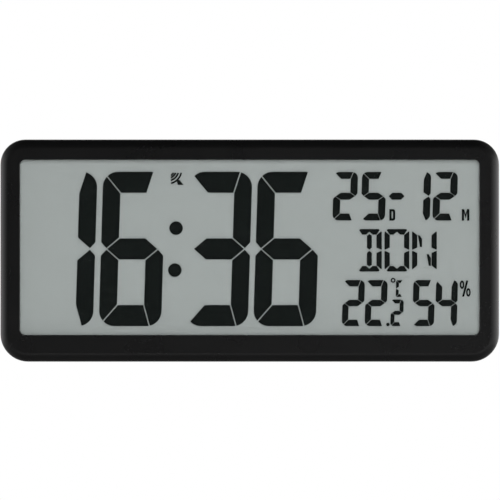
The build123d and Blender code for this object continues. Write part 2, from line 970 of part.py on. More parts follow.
def make_symbol_segments():
    """The radio mark: four waves and the foot of a mast."""
    made = []
    for radius, span in zip(wave_radii, wave_spans):
        inner = radius - wave_stroke / 2
        outer = radius + wave_stroke / 2
        ring = Circle(outer) - Circle(inner)
        reach = 2 * outer
        start = math.radians(-span[1])
        end = math.radians(-span[0])
        wedge = Polygon(
            (0, 0),
            (reach * math.cos(start), reach * math.sin(start)),
            (reach * math.cos(end), reach * math.sin(end)),
            align=None,
        )
        made.append(Pos(wave_x, wave_z) * (ring & wedge))
    foot = Pos(wave_x, wave_z) * Polygon(*tower_foot, align=None)
    joined = made[-1] + foot
    return [lit(area) for area in made[:-1]] + [lit(joined)]


def make_lcd_holder():
    """The tray behind the display, with ears, standoffs and the antenna's cradles."""
    holder = block(
        -holder_right, holder_right, holder_front_y, holder_back_y, holder_bottom, holder_top
    )
    inner_right = glass_right + holder_fit
    rim = block(
        -holder_right, holder_right, polariser_front_y, holder_front_y, holder_bottom, holder_top
    )
    rim -= block(
        -inner_right,
        inner_right,
        polariser_front_y,
        holder_front_y,
        glass_bottom - holder_fit,
        glass_top + holder_fit,
    )
    holder += rim
    for x, z in holder_screw_places:
        ear_end = z + math.copysign(holder_boss_radius, z)
        ear_root = holder_top - holder_rim if z > 0 else holder_bottom + holder_rim
        low, high = sorted((ear_root, ear_end))
        half = holder_ear_width / 2
        holder += block(x - half, x + half, holder_front_y, holder_back_y, low, high)
    for x, z in board_screw_places + receiver_screw_places:
        holder += post(x, z, standoff_radius, holder_back_y, board_front_y)

    cradle_outer = antenna_rod_radius + antenna_cradle_wall
    cradle_top_y = antenna_y + antenna_rod_radius * antenna_cradle_share
    for side in (-1, 1):
        x = antenna_x + side * antenna_cradle_span / 2
        half = antenna_cradle_width / 2
        holder += block(
            x - half,
            x + half,
            holder_back_y,
            cradle_top_y,
            antenna_z - cradle_outer,
            antenna_z + cradle_outer,
        )
    holder -= axle(
        antenna_x - antenna_rod_length / 2,
        antenna_x + antenna_rod_length / 2,
        antenna_y,
        antenna_z,
        antenna_rod_radius + antenna_fit,
    )
    holder -= block(
        antenna_x - antenna_rod_length / 2,
        antenna_x + antenna_rod_length / 2,
        antenna_y,
        cradle_top_y,
        antenna_z - antenna_cradle_mouth / 2,
        antenna_z + antenna_cradle_mouth / 2,
    )

    for x, z in holder_screw_places:
        holder -= post(x, z, holder_screw_radius + screw_pass, holder_front_y, holder_back_y)
    for x, z in board_screw_places:
        tip_y = board_back_y - board_screw_length
        holder -= post(x, z, board_screw_radius + screw_fit, tip_y - screw_pass, board_front_y)
    for x, z in receiver_screw_places:
        tip_y = board_front_y + small_board_thickness - board_screw_length
        holder -= post(x, z, board_screw_radius + screw_fit, tip_y - screw_pass, board_front_y)
    for low, high in strip_spans():
        holder -= block(
            low - strip_fit,
            high + strip_fit,
            holder_front_y,
            holder_back_y,
            strip_z - strip_thickness / 2 - strip_fit,
            strip_z + strip_thickness / 2 + strip_fit,
        )
    return holder


def strip_spans():
    """Left and right end of each contact strip."""
    start = strip_gap / 2
    return [(-start - strip_length, -start), (start, start + strip_length)]


def make_contact_strips():
    """The striped rubber strips from the glass ledge to the board."""
    half = strip_thickness / 2
    return [
        block(low, high, cell_front_y, board_front_y, strip_z - half, strip_z + half)
        for low, high in strip_spans()
    ]


def make_main_board():
    """The printed board behind the lower part of the display."""
    board = panel(
        board_half_length,
        board_bottom_z,
        board_top_z,
        board_corner_radius,
        board_front_y,
        board_thickness,
    )
    for x, z in board_screw_places:
        board -= post(x, z, board_screw_radius + screw_pass, board_front_y, board_back_y)
    return board


def make_chip_cover():
    """The black drop of resin over the clock's chip."""
    drop = post(
        chip_cover_x, chip_cover_z, chip_cover_radius, board_back_y, board_back_y + chip_cover_height
    )
    return fillet(drop.edges().group_by(Axis.Y)[-1], chip_cover_round)


def make_quartz_crystal():
    """The small can of the clock crystal, lying on the board."""
    return axle(
        crystal_x,
        crystal_x + crystal_length,
        board_back_y + crystal_radius,
        chip_cover_z,
        crystal_radius,
    )


def make_capacitors():
    """Two small round capacitors that stand on the board."""
    made = []
    for x in capacitor_x:
        can = post(x, capacitor_z, capacitor_radius, board_back_y, board_back_y + capacitor_height)
        made.append(fillet(can.edges().group_by(Axis.Y)[-1], capacitor_edge))
    return made


def make_resistors():
    """A row of chip resistors."""
    made = []
    for index in range(resistor_count):
        x = resistor_first_x + index * resistor_pitch
        made.append(
            block(
                x,
                x + resistor_width,
                board_back_y,
                board_back_y + resistor_height,
                resistor_z,
                resistor_z + resistor_length,
            )
        )
    return made


def make_switch_housings():
    """The bodies of the five push switches."""
    half = switch_size / 2
    made = []
    for x in button_x:
        housing = block(
            x - half, x + half, board_back_y, switch_top_y, button_z - half, button_z + half
        )
        housing -= post(
            x,
            button_z,
            plunger_radius + button_fit,
            switch_top_y - plunger_sunk - button_travel - switch_room,
            switch_top_y,
        )
        made.append(housing)
    return made


def make_button(x):
    """One button: its cap, the flange that holds it in and the stem to the switch."""
    cap_sketch = Pos(x, button_z) * RectangleRounded(
        button_width, button_height, button_corner_radius
    )
    cap = upright(cap_sketch, button_flange_y, -button_sunk - button_flange_y)
    cap = fillet(cap.edges().group_by(Axis.Y)[-1], button_edge)
    flange_sketch = Pos(x, button_z) * RectangleRounded(
        button_width + 2 * button_flange_reach,
        button_height + 2 * button_flange_reach,
        button_corner_radius + button_flange_reach,
    )
    flange = upright(flange_sketch, button_flange_y - button_flange, button_flange)
    stem = post(x, button_z, button_stem_radius, plunger_top_y, button_flange_y - button_flange)
    return cap + flange + stem


def make_plunger(x):
    """The moving pin of one push switch."""
    return post(x, button_z, plunger_radius, switch_top_y - plunger_sunk, plunger_top_y)


def make_receiver_board():
    """The small board of the time-signal receiver."""
    half_width = receiver_board_width / 2
    half_height = receiver_board_height / 2
    board = block(
        receiver_board_x - half_width,
        receiver_board_x + half_width,
        board_front_y,
        board_front_y + small_board_thickness,
        receiver_board_z - half_height,
        receiver_board_z + half_height,
    )
    for x, z in receiver_screw_places:
        board -= post(
            x,
            z,
            board_screw_radius + screw_pass,
            board_front_y,
            board_front_y + small_board_thickness,
        )
    return board


def make_receiver_chip():
    """The receiver's chip."""
    half = receiver_chip_size / 2
    seat_y = board_front_y + small_board_thickness
    return block(
        receiver_board_x - half,
        receiver_board_x + half,
        seat_y,
        seat_y + receiver_chip_height,
        receiver_board_z - half,
        receiver_board_z + half,
    )


def make_ferrite_rod():
    """The rod of the antenna."""
    half = antenna_rod_length / 2
    return axle(antenna_x - half, antenna_x + half, antenna_y, antenna_z, antenna_rod_radius)


def make_antenna_bobbin():
    """The flanged sleeve on the rod."""
    half = bobbin_length / 2
    sleeve = antenna_rod_radius + bobbin_wall
    bobbin = axle(antenna_x - half, antenna_x + half, antenna_y, antenna_z, sleeve)
    for low in (antenna_x - half, antenna_x + half - bobbin_flange):
        bobbin += axle(low, low + bobbin_flange, antenna_y, antenna_z, bobbin_flange_radius)
    bore = antenna_rod_radius + antenna_fit
    return bobbin - axle(antenna_x - half, antenna_x + half, antenna_y, antenna_z, bore)


def make_antenna_coil():
    """The winding between the bobbin's flanges."""
    half = bobbin_length / 2 - bobbin_flange
    sleeve = antenna_rod_radius + bobbin_wall
    coil = axle(antenna_x - half, antenna_x + half, antenna_y, antenna_z, sleeve + coil_depth)
    return coil - axle(antenna_x - half, antenna_x + half, antenna_y, antenna_z, sleeve)


sensor_post_end_y = cover_inside_y - sensor_post_height


def make_sensor_board():
    """The small board that carries the climate sensor behind the vents."""
    half_width = sensor_board_width / 2
    half_height = sensor_board_height / 2
    board = block(
        sensor_board_x - half_width,
        sensor_board_x + half_width,
        sensor_post_end_y - small_board_thickness,
        sensor_post_end_y,
        sensor_board_z - half_height,
        sensor_board_z + half_height,
    )
    for x, z in sensor_screw_places:
        board -= post(
            x,
            z,
            board_screw_radius + screw_pass,
            sensor_post_end_y - small_board_thickness,
            sensor_post_end_y,
        )
    return board


def make_climate_sensor():
    """The sensor for temperature and humidity."""
    half = sensor_size / 2
    return block(
        sensor_board_x - half,
        sensor_board_x + half,
        sensor_post_end_y,
        sensor_post_end_y + sensor_height,
        sensor_board_z - half,
        sensor_board_z + half,
    )


def make_sensor_screws():
    """Two board screws that are driven towards the wall."""
    made = []
    seat_y = sensor_post_end_y - small_board_thickness
    for screw in screws(
        sensor_screw_places,
        0,
        board_screw_radius,
        board_screw_length - hole_spare,
        board_screw_head_radius,
        board_screw_head_height,
    ):
        made.append(Pos(0, seat_y, 0) * mirror(screw, about=Plane.XZ))
    return made


def make_rear_cover():
    """The back of the case, with everything that is moulded into it."""
    cover = upright(case_outline(cover_inset), frame_back_y, -frame_back_y)
    cover = chamfer(cover.edges().group_by(Axis.Y)[-1], cover_edge_chamfer)
    hollow = case_outline(cover_inset + cover_side)
    cover -= upright(hollow, frame_back_y, cover_inside_y - frame_back_y)
    cover += make_tongue()
    cover = add_screw_posts(cover)
    cover = add_battery_compartment(cover)
    cover = add_stand_recess(cover)
    cover = add_keyhole(cover)
    cover = add_button_holes(cover)
    return add_vents(cover)


def make_tongue():
    """The ring that guides the cover into the front shell."""
    inset = frame_wall + tongue_fit
    length = frame_back_y - boss_end_y + cover_side / 2
    ring = upright(case_outline(inset), boss_end_y, length)
    return ring - upright(case_outline(inset + tongue_wall), boss_end_y, length)


def add_screw_posts(cover):
    """Posts with deep counterbores for the case screws."""
    seat_y = boss_end_y + cover_post_floor
    for x, z in case_screw_places:
        cover += post(x, z, cover_post_radius, boss_end_y, cover_inside_y)
    for x, z in case_screw_places:
        cover -= post(x, z, counterbore_radius, seat_y, 0)
        cover -= post(x, z, case_screw_radius + screw_pass, boss_end_y, seat_y)
    return cover


def add_battery_compartment(cover):
    """A box for the two cells, with a ledge all round for the door."""
    half_length = compartment_half_length
    half_height = compartment_half_height
    ledge_right = door_width / 2 + door_gap + door_ledge_reach
    ledge_top = door_height / 2 + door_gap + door_ledge_reach
    cover += block(
        -ledge_right,
        ledge_right,
        door_ledge_y - door_ledge,
        cover_inside_y,
        cell_centre_z - ledge_top,
        cell_centre_z + ledge_top,
    )
    cover += block(
        -half_length - compartment_wall,
        half_length + compartment_wall,
        cell_compartment_floor_y - compartment_wall,
        cover_inside_y,
        cell_centre_z - half_height - compartment_wall,
        cell_centre_z + half_height + compartment_wall,
    )
    cover -= block(
        -half_length,
        half_length,
        cell_compartment_floor_y,
        0,
        cell_centre_z - half_height,
        cell_centre_z + half_height,
    )
    cover -= door_outline(door_gap, door_ledge_y, -door_ledge_y)
    hole_end = door_width / 2 + door_pin_length + 2 * door_gap
    cover -= axle(
        -hole_end, hole_end, door_hinge_y, door_hinge_z, door_pin_radius + pin_running_gap
    )
    cover -= block(
        -latch_width / 2 - latch_notch_room,
        latch_width / 2 + latch_notch_room,
        door_ledge_y - door_ledge,
        door_ledge_y,
        door_bottom_z - door_gap,
        cell_centre_z - half_height - compartment_wall,
    )
    for z, y in contact_tail_places():
        cover -= block(
            -half_length - compartment_wall,
            -half_length,
            y - contact_thickness,
            y + contact_thickness,
            z - contact_tail_width / 2 - screw_pass,
            z + contact_tail_width / 2 + screw_pass,
        )
    return cover


def door_outline(gap, y_low, thickness):
    """The door's shape, grown by a gap all round, with its lower corners rounded."""
    outline = block(
        -door_width / 2 - gap,
        door_width / 2 + gap,
        y_low,
        y_low + thickness,
        door_bottom_z - gap,
        door_top_z + gap,
    )
    lower_corners = outline.edges().filter_by(Axis.Y).group_by(Axis.Z)[0]
    return fillet(lower_corners, door_corner_radius + gap)


def contact_tail_places():
    """Height and depth at which each soldering tail leaves the compartment."""
    tail_y = cell_y - contact_tail_drop + contact_thickness
    return [
        (cell_centre_z + cell_row_offset, tail_y),
        (cell_centre_z - cell_row_offset, tail_y),
    ]


def add_stand_recess(cover):
    """The recess that the folded stand lies in, its pin holes and the finger notch."""
    notch = Pos(0, recess_top_z) * Circle(finger_notch_radius)
    notch_wall = Pos(0, recess_top_z) * Circle(finger_notch_radius + recess_wall)
    depth = -recess_floor_y
    cover_bottom = cover_inset - case_height / 2
    cover += block(
        -recess_half_width - recess_wall,
        recess_half_width + recess_wall,
        recess_floor_y - recess_wall,
        cover_inside_y,
        cover_bottom + cover_side / 2,
        recess_top_z + recess_wall,
    )
    cover += upright(notch_wall, recess_floor_y - recess_wall, depth + recess_wall + cover_inside_y)
    cover -= block(
        -recess_half_width, recess_half_width, recess_floor_y, 0, recess_bottom_z, recess_top_z
    )
    cover -= upright(notch, recess_floor_y, depth)
    hole_end = recess_half_width + recess_wall
    return cover - axle(
        -hole_end, hole_end, stand_hinge_y, stand_hinge_z, stand_pin_radius + pin_running_gap
    )


def add_keyhole(cover):
    """The keyhole and the closed pocket that keeps the screw head off the boards."""
    slot_radius = keyhole_slot_width / 2
    seat_z = keyhole_z + keyhole_rise
    inner_right = keyhole_entry_radius + keyhole_pocket_margin
    inner_bottom = keyhole_z - keyhole_entry_radius - keyhole_pocket_margin
    inner_top = seat_z + slot_radius + keyhole_pocket_margin
    pocket_y = cover_inside_y - keyhole_pocket_depth
    cover += block(
        -inner_right - pocket_wall,
        inner_right + pocket_wall,
        pocket_y - pocket_wall,
        cover_inside_y,
        inner_bottom - pocket_wall,
        inner_top + pocket_wall,
    )
    cover -= block(-inner_right, inner_right, pocket_y, cover_inside_y, inner_bottom, inner_top)
    cover -= post(0, keyhole_z, keyhole_entry_radius, cover_inside_y, 0)
    cover -= post(0, seat_z, slot_radius, cover_inside_y, 0)
    return cover - block(-slot_radius, slot_radius, cover_inside_y, 0, keyhole_z, seat_z)


def add_button_holes(cover):
    """A shallow recess with one hole for each button."""
    left = button_x[0] - button_recess_margin
    right = button_x[-1] + button_recess_margin
    low = button_z - button_recess_below
    high = button_z + button_recess_above
    cover += block(left - button_pad, right + button_pad, button_wall_y, cover_inside_y, low, high)
    sketch = Pos((left + right) / 2, (low + high) / 2) * RectangleRounded(
        right - left, high - low, button_corner_radius
    )
    cover -= upright(sketch, button_recess_y, button_recess_depth)
    for x in button_x:
        hole = Pos(x, button_z) * RectangleRounded(
            button_width + 2 * button_fit,
            button_height + 2 * button_fit,
            button_corner_radius + button_fit,
        )
        cover -= upright(hole, button_wall_y, button_pad)
    return cover


def add_vents(cover):
    """Slots in front of the climate sensor, and the posts of its board."""
    first = sensor_board_x - vent_pitch * (vent_slots - 1) / 2
    for index in range(vent_slots):
        slot = Pos(first + index * vent_pitch, sensor_board_z) * SlotOverall(
            vent_height, vent_width, rotation=90
        )
        cover -= upright(slot, cover_inside_y, cover_back)
    for x, z in sensor_screw_places:
        cover += post(x, z, sensor_post_radius, sensor_post_end_y, cover_inside_y)
        depth = board_screw_length - hole_spare - small_board_thickness + screw_pass
        cover -= post(
            x, z, board_screw_radius + screw_fit, sensor_post_end_y, sensor_post_end_y + depth
        )
    return cover


def make_battery_door():
    """The door over the cells: pins at its upper edge, a latch finger at its lower."""
    half_width = door_width / 2
    half = door_thickness / 2
    door = door_outline(0, door_inner_y, door_thickness)
    door -= block(
        -half_width, half_width, door_inner_y, door_outer_y, door_hinge_z, door_top_z
    )
    door += axle(-half_width, half_width, door_hinge_y, door_hinge_z, half)
    reach = half_width + door_pin_length
    door += axle(-reach, reach, door_hinge_y, door_hinge_z, door_pin_radius)
    wall_z = cell_centre_z - compartment_half_height - compartment_wall
    door += block(
        -latch_width / 2,
        latch_width / 2,
        door_inner_y - latch_depth,
        door_inner_y,
        wall_z - latch_gap - latch_thickness,
        wall_z - latch_gap,
    )
    for index in range(grip_ribs):
        z = door_bottom_z + 2 * grip_rib_pitch + index * grip_rib_pitch
        door += block(
            -grip_rib_length / 2,
            grip_rib_length / 2,
            door_outer_y,
            door_outer_y + grip_rib_height,
            z,
            z + grip_rib_width,
        )
    return door


def make_cell(direction, row_z):
    """An AA cell that lies along X with its raised end towards direction."""
    nub_end = direction * (compartment_half_length - contact_thickness)
    body_end = nub_end - direction * cell_nub_length
    body_low, body_high = sorted((body_end - direction * cell_body_length, body_end))
    body = axle(body_low, body_high, cell_y, row_z, cell_radius)
    body = fillet(body.edges().filter_by(GeomType.CIRCLE), cell_edge)
    nub_low, nub_high = sorted((body_end, nub_end))
    return body + axle(nub_low, nub_high, cell_y, row_z, cell_nub_radius)


def contact_plate(side, row_z):
    """A square contact that stands against an end wall of the compartment."""
    outer = side * compartment_half_length
    inner = side * (compartment_half_length - contact_thickness)
    low, high = sorted((outer, inner))
    half = contact_size / 2
    return block(low, high, cell_y - half, cell_y + half, row_z - half, row_z + half)


def end_contact(index):
    """A contact on the left with the tail that its lead is soldered to."""
    row_z, tail_y = contact_tail_places()[index]
    plate = contact_plate(-1, row_z)
    tail_end = -compartment_half_length - compartment_wall - contact_tail_reach
    return plate + block(
        tail_end,
        -compartment_half_length,
        tail_y - contact_thickness / 2,
        tail_y + contact_thickness / 2,
        row_z - contact_tail_width / 2,
        row_z + contact_tail_width / 2,
    )


def make_bridge_contact():
    """The contact on the right: two plates and the strip that joins the cells."""
    link = block(
        compartment_half_length - contact_thickness,
        compartment_half_length,
        cell_y - bridge_link_width / 2,
        cell_y + bridge_link_width / 2,
        cell_centre_z - cell_row_offset,
        cell_centre_z + cell_row_offset,
    )
    link += contact_plate(1, cell_centre_z + cell_row_offset)
    return link + contact_plate(1, cell_centre_z - cell_row_offset)


def biarc(start, start_way, end, end_way):
    """Two arcs that leave start along start_way and reach end along end_way."""
    chord = end - start
    both = start_way + end_way
    spread = 2 * (1 - start_way.dot(end_way))
    along = chord.dot(both)
    reach = (math.sqrt(along**2 + spread * chord.dot(chord)) - along) / spread
    before = start + start_way * reach
    after = end - end_way * reach
    middle = (before + after) * 0.5
    way = (after - before).normalized()
    return [
        TangentArc(start, middle, tangent=start_way),
        TangentArc(middle, end, tangent=way),
    ]


def spring_point(quarters, length):
    """Place and direction on the spring's cone after a number of quarter turns."""
    total = 4 * spring_turns
    share = quarters / total
    angle = math.radians(90 * quarters)
    radius = spring_base_radius + (spring_tip_radius - spring_base_radius) * share
    narrowing = (spring_tip_radius - spring_base_radius) / (total * math.pi / 2)
    rise = length / (total * math.pi / 2)
    place = Vector(radius * math.cos(angle), radius * math.sin(angle), length * share)
    way = Vector(
        narrowing * math.cos(angle) - radius * math.sin(angle),
        narrowing * math.sin(angle) + radius * math.cos(angle),
        rise,
    )
    return place, way.normalized()


def make_spring(side, row_z):
    """The conical spring between a contact and the flat end of a cell."""
    length = spring_room - 2 * (spring_wire_radius + spring_seat)
    edges = []
    for quarter in range(4 * spring_turns):
        start, start_way = spring_point(quarter, length)
        end, end_way = spring_point(quarter + 1, length)
        edges += biarc(start, start_way, end, end_way)
    path = Wire(edges)
    start, start_way = spring_point(0, length)
    section = Plane(origin=start, z_dir=start_way) * Circle(spring_wire_radius)
    spring = sweep(section, path=path)
    foot = compartment_half_length - contact_thickness - spring_wire_radius - spring_seat
    turned = Rot(0, -90 * side, 0) * spring
    return Pos(side * foot, cell_y, row_z) * turned


def print_spring_gap():
    """Measure on points how near the spring's turns come to each other."""
    length = spring_room - 2 * (spring_wire_radius + spring_seat)
    steps = 12
    points = [
        spring_point(index / steps, length)[0] for index in range(4 * spring_turns * steps + 1)
    ]
    least = min(
        (points[i] - points[j]).length
        for i in range(len(points))
        for j in range(i + 2 * steps, len(points))
    )
    print("spring: least gap between turns", round(least - 2 * spring_wire_radius, 3))


def make_stand():
    """The fold-out stand: a ribbed leaf with pins at its foot, open towards the case."""
    half_width = stand_width / 2
    half = stand_thickness / 2
    tip_z = stand_hinge_z + stand_length
    inner_y = stand_hinge_y - half
    sketch = Pos(0, (stand_hinge_z + tip_z) / 2) * Rectangle(stand_width, stand_length)
    leaf = upright(sketch, inner_y, stand_thickness)
    tip_corners = leaf.edges().filter_by(Axis.Y).group_by(Axis.Z)[-1]
    leaf = fillet(tip_corners, stand_tip_radius)
    pocket_top = tip_z - stand_rim - stand_tip_radius / 2
    pocket_bottom = stand_hinge_z + stand_knuckle_radius + stand_rim
    bay_width = (stand_width - stand_rim * (stand_bays + 1)) / stand_bays
    for bay in range(stand_bays):
        low = -half_width + stand_rim + bay * (bay_width + stand_rim)
        leaf -= block(
            low,
            low + bay_width,
            inner_y,
            inner_y + stand_thickness - stand_skin,
            pocket_bottom,
            pocket_top,
        )
    leaf += axle(-half_width, half_width, stand_hinge_y, stand_hinge_z, stand_knuckle_radius)
    reach = half_width + stand_pin_length
    return leaf + axle(-reach, reach, stand_hinge_y, stand_hinge_z, stand_pin_radius)


def bend_radii(route):
    """The largest bend that the two runs at each corner leave room for."""
    radii = []
    for before, corner, after in zip(route, route[1:], route[2:]):
        run_in = Vector(*corner) - Vector(*before)
        run_out = Vector(*after) - Vector(*corner)
        half_turn = math.radians(run_in.get_angle(run_out)) / 2
        radii.append(bend_share * min(run_in.length, run_out.length) / math.tan(half_turn))
    return radii


def make_leads():
    """The four leads, each from the piece that it leaves to the board."""
    tail_end = -compartment_half_length - compartment_wall - contact_tail_reach
    receiver_back_y = board_front_y + small_board_thickness
    sensor_front_y = sensor_post_end_y - small_board_thickness
    routes = {}
    for name, middle, solder, index in (
        ("battery_lead_red", red_lead_middle, red_lead_solder, 0),
        ("battery_lead_black", black_lead_middle, black_lead_solder, 1),
    ):
        row_z, tail_y = contact_tail_places()[index]
        start = [(tail_end, tail_y, row_z), (tail_end - solder_run, tail_y, row_z)]
        routes[name] = start + middle + solder_end(solder, board_back_y, solder_run)
    routes["receiver_lead"] = solder_end(receiver_lead_start, receiver_back_y, solder_run)[::-1]
    routes["receiver_lead"] += receiver_lead_middle
    routes["receiver_lead"] += solder_end(receiver_lead_end, board_back_y, solder_run)
    routes["sensor_lead"] = solder_end(sensor_lead_start, sensor_front_y, -sensor_solder_run)[::-1]
    routes["sensor_lead"] += sensor_lead_middle
    routes["sensor_lead"] += solder_end(sensor_lead_end, board_back_y, sensor_solder_run)
    for name, route in routes.items():
        radius = receiver_lead_radius if name == "receiver_lead" else lead_radius
        save(name, make_lead(name, route, radius))


def solder_end(place, face_y, run):
    """The last two points of a lead that meets a board square on."""
    x, z = place
    return [(x, face_y + run, z), (x, face_y, z)]


def make_lead(name, route, radius):
    """A lead along its route, which starts and ends at the pieces that it joins."""
    radii = bend_radii(route)
    path = FilletPolyline(*route, radius=radii)
    way = Vector(*route[1]) - Vector(*route[0])
    section = Plane(origin=route[0], z_dir=way) * Circle(radius)
    lead = sweep(section, path=path)
    expected = math.pi * radius**2 * path.length
    print(name, "length", round(path.length, 1), "bends", [round(value, 1) for value in radii])
    print(name, "volume over section times length", round(lead.volume / expected, 4))
    return lead


def save(name, *solids):
    """Write one node, moved so that the keyhole's entry hole is the origin."""
    moved = [Pos(0, 0, -keyhole_z) * solid for solid in solids]
    shape = moved[0] if len(moved) == 1 else Compound(children=moved)
    export_step(shape, os.path.join("parts", name + ".step"))


def build_all():
    """Make every node of the clock."""
    os.makedirs("parts", exist_ok=True)
    save("front_frame", make_front_frame())
    save("window_lens", make_window_lens())
    save("lens_tape", make_lens_tape())
    save("display_gasket", make_display_gasket())
    save("front_polariser", make_front_polariser())
    save("front_glass", make_front_glass())
    save("rear_glass", make_rear_glass())
    save("cell_seal", make_cell_seal())
    save("reflector", make_reflector())
    save("time_segments", *make_time_segments())
    save("date_segments", *make_date_segments())
    save("weekday_segments", *make_weekday_segments())
    save("climate_segments", *make_climate_segments())
    save("symbol_segments", *make_symbol_segments())
    save("lcd_holder", make_lcd_holder())
    save("contact_strips", *make_contact_strips())
    save("main_board", make_main_board())
    save("chip_cover", make_chip_cover())
    save("quartz_crystal", make_quartz_crystal())
    save("capacitors", *make_capacitors())
    save("resistors", *make_resistors())
    save("switch_housings", *make_switch_housings())
    for name, x in zip(button_names, button_x):
        save(name + "_button", make_button(x))
        save(name + "_plunger", make_plunger(x))
    save("receiver_board", make_receiver_board())
    save("receiver_chip", make_receiver_chip())
    save("ferrite_rod", make_ferrite_rod())
    save("antenna_bobbin", make_antenna_bobbin())
    save("antenna_coil", make_antenna_coil())
    save("sensor_board", make_sensor_board())
    save("climate_sensor", make_climate_sensor())
    save("rear_cover", make_rear_cover())
    save("battery_door", make_battery_door())
    save("battery_1", make_cell(-1, cell_centre_z + cell_row_offset))
    save("battery_2", make_cell(1, cell_centre_z - cell_row_offset))
    save("positive_contact", end_contact(0))
    save("negative_contact", end_contact(1))
    save("bridge_contact", make_bridge_contact())
    save(
        "battery_springs",
        make_spring(1, cell_centre_z + cell_row_offset),
        make_spring(-1, cell_centre_z - cell_row_offset),
    )
    save("stand", make_stand())
    make_leads()
    save(
        "case_screws",
        *screws(
            case_screw_places,
            boss_end_y + cover_post_floor,
            case_screw_radius,
            case_screw_length,
            case_screw_head_radius,
            case_screw_head_height,
        ),
    )
    save(
        "holder_screws",
        *screws(
            holder_screw_places,
            holder_back_y,
            holder_screw_radius,
            holder_screw_length,
            holder_screw_head_radius,
            holder_screw_head_height,
        ),
    )
    board_screws = screws(
        board_screw_places,
        board_back_y,
        board_screw_radius,
        board_screw_length,
        board_screw_head_radius,
        board_screw_head_height,
    )
    board_screws += screws(
        receiver_screw_places,
        board_front_y + small_board_thickness,
        board_screw_radius,
        board_screw_length,
        board_screw_head_radius,
        board_screw_head_height,
    )
    save("board_screws", *board_screws, *make_sensor_screws())
    print_spring_gap()


build_all()
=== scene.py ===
import json
import math

import bpy
from mathutils import Matrix, Vector

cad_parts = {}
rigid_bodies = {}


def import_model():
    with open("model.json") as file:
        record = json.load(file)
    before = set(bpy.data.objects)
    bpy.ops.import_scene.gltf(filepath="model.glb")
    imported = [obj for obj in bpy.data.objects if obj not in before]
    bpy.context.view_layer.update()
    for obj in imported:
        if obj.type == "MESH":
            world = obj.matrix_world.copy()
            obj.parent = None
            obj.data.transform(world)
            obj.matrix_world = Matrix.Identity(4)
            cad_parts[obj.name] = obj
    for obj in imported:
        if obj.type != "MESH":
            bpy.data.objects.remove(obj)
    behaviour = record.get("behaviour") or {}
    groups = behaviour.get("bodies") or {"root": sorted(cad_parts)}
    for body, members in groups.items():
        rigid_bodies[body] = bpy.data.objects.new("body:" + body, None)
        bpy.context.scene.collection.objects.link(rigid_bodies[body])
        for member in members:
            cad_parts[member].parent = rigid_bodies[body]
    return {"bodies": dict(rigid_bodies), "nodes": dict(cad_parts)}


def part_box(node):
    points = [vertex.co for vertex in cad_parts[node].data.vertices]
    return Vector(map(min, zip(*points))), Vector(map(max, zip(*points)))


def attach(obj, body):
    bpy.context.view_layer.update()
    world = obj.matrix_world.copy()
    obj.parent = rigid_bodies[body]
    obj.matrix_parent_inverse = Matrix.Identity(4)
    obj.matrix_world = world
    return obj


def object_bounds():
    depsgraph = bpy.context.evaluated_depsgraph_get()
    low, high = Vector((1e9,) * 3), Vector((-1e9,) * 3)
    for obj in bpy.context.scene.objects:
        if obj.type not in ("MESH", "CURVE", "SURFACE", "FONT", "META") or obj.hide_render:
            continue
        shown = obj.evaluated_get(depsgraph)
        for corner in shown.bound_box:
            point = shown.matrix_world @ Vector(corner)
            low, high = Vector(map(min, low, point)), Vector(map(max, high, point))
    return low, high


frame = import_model()
cad_low, cad_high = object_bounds()

# All lengths are metres unless a name says otherwise, in the frame of the model: +X to
# the right as seen from the front, +Y into the wall, +Z up.

# Camera: a long lens square to the front, the width at the front that it takes in, and
# how far it aims beside the middle
camera_distance = 2.5
picture_width = 0.3681
aim_right = 0.0002
aim_up = 0.00045
sensor_width_mm = 36.0
clip_start = 0.05
clip_end = 50.0

# Floor, and the share of plain white in what the camera sees of it
floor_drop = 1.2
floor_size = 8.0
floor_colour = (0.6, 0.6, 0.6)
floor_roughness = 0.8
floor_camera_share = 0.97

# Even light from all round, which grows towards the directions behind the clock, and the
# white background
studio_fill = 0.14
rear_fill = 0.9
rear_fill_start = -0.1
rear_fill_end = 0.5
background_strength = 1.0

# What glossy surfaces see: soft boxes beside the clock, strongest a little behind it, a
# low soft box in front whose edge runs across the clock, and the white background
side_gloss = 1.4
side_gloss_slope = 0.5
front_gloss = 0.5
front_gloss_lean = 0.5
front_gloss_start = 0.0
front_gloss_end = 0.18
gloss_band_start = 0.15
gloss_band_end = 0.5
gloss_outside_band = 0.25
gloss_behind_start = 0.7
gloss_behind_end = 1.0

# Lamps: soft rectangles, all turned to the middle of the clock
lamps = {
    "front_high": {"place": (0.35, -2.5, 0.5), "width": 1.0, "height": 1.0, "watts": 48.0},
    "front_low": {"place": (-0.2, -2.5, -0.5), "width": 1.0, "height": 0.6, "watts": 25.0},
    "side_left": {"place": (-1.15, 0.35, 0.1), "width": 0.5, "height": 1.4, "watts": 8.0},
    "side_right": {"place": (1.15, 0.35, 0.1), "width": 0.5, "height": 1.4, "watts": 8.0},
    "back_high": {"place": (-0.6, 1.5, 1.1), "width": 1.2, "height": 1.2, "watts": 13.0},
}

# Faces of clear panes and films that a ray may pass on its way
clear_faces = 48

# Marks below the buttons: relief over the floor of their recess and root below it
mark_relief = 0.00016
mark_root = 0.00004
mark_size = 0.0044
mark_drop = 0.0075
recess_depth = 0.0015
letter_curve_steps = 4
signal_radii = (0.0011, 0.0019, 0.0027)
signal_stroke = 0.0004
signal_start_degrees = 45.0
signal_sweep_degrees = 90.0

# Arrow on the battery door
arrow_size = 0.007
arrow_relief = 0.0004
arrow_rise = 0.017
door_face_depth = 0.0006

